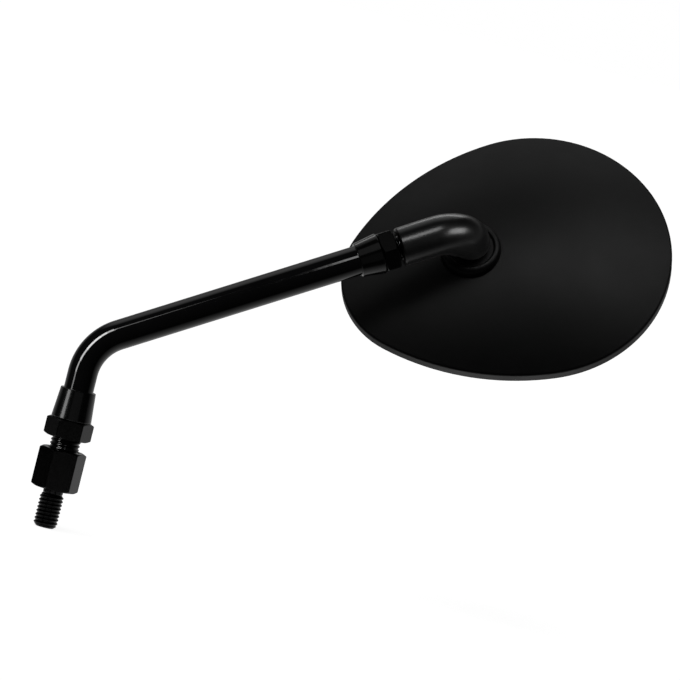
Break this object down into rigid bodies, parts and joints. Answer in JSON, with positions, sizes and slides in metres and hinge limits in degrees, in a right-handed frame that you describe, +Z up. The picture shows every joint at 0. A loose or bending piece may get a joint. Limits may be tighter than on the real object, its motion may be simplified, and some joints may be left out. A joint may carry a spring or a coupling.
{
  "type": "motorcycle mirror",
  "caption": "Black motorcycle rear-view mirror: egg-shaped head on a ball joint, bent round stem with lock nuts, and a threaded stud that screws into a handlebar perch.",
  "frame": {"origin": "on the stud's axis, at the seat face of the base adapter's hex body", "axes": "+Z up the stud's axis out of the perch, +X the way the stem bends, -Y the side that the back of the head looks to, so the glass looks to +Y and a little down"},
  "size_m": [0.1973, 0.0606, 0.1648],
  "materials": {
    "adapter_black": "satin black",
    "nut_black": "satin black",
    "stem_black": "gloss black",
    "collar_black": "gloss black",
    "elbow_black": "satin gloss black",
    "shell_black": "matte black, finely grained",
    "seat_plastic": "natural moulded",
    "plated_steel": "zinc plated",
    "ball_black": "blackened and greased",
    "spring_steel": "oiled",
    "pad_foam": "closed-cell foam",
    "gasket_rubber": "matte black",
    "mirror_face": "silvered behind clear glass"
  },
  "bodies": {
    "base": {"base_adapter": "adapter_black"},
    "stem": {"stem_rod": "stem_black", "lower_collar": "collar_black", "upper_collar": "collar_black"},
    "lower_nut": {"lower_lock_nut": "nut_black"},
    "upper_nut": {"upper_lock_nut": "nut_black"},
    "elbow": {"elbow": "elbow_black", "ball_stud": "ball_black"},
    "cup": {"pressure_cup": "seat_plastic"},
    "liner": {"seat_liner": "seat_plastic"},
    "head": {"shell": "shell_black", "clamp_spring": "spring_steel", "clamp_plate": "plated_steel", "clamp_screws": "plated_steel", "screw_washers": "plated_steel", "glass_pad": "pad_foam", "mirror_glass": "mirror_face", "rim_gasket": "gasket_rubber"}
  },
  "joints": [
    {"name": "stem_swivel", "type": "hinge", "parent": "base", "child": "stem", "pos_m": [0, 0, 0.0085], "axis": [0, 0, 1], "range_deg": [-90, 90]},
    {"name": "lower_nut_travel", "type": "slide", "parent": "stem", "child": "lower_nut", "axis": [0, 0, -1], "range_m": [0, 0.0037]},
    {"name": "upper_nut_travel", "type": "slide", "parent": "stem", "child": "upper_nut", "axis": [0.8607, 0, 0.509], "range_m": [0, 0.001]},
    {"name": "elbow_swivel", "type": "hinge", "parent": "stem", "child": "elbow", "pos_m": [0.11508, 0, 0.11776], "axis": [0.8607, 0, 0.509], "range_deg": [-90, 90]},
    {"name": "head_turn", "type": "hinge", "parent": "elbow", "child": "cup", "pos_m": [0.12153, 0.01611, 0.10685], "axis": [-0.3148, -0.7859, 0.5323], "continuous": true},
    {"name": "head_pan", "type": "hinge", "parent": "cup", "child": "liner", "pos_m": [0.12153, 0.01611, 0.10685], "axis": [-0.3141, 0.6155, 0.7229], "range_deg": [-8, 8]},
    {"name": "head_tilt", "type": "hinge", "parent": "liner", "child": "head", "pos_m": [0.12153, 0.01611, 0.10685], "axis": [0.8957, -0.0603, 0.4406], "range_deg": [-8, 8]}
  ]
}
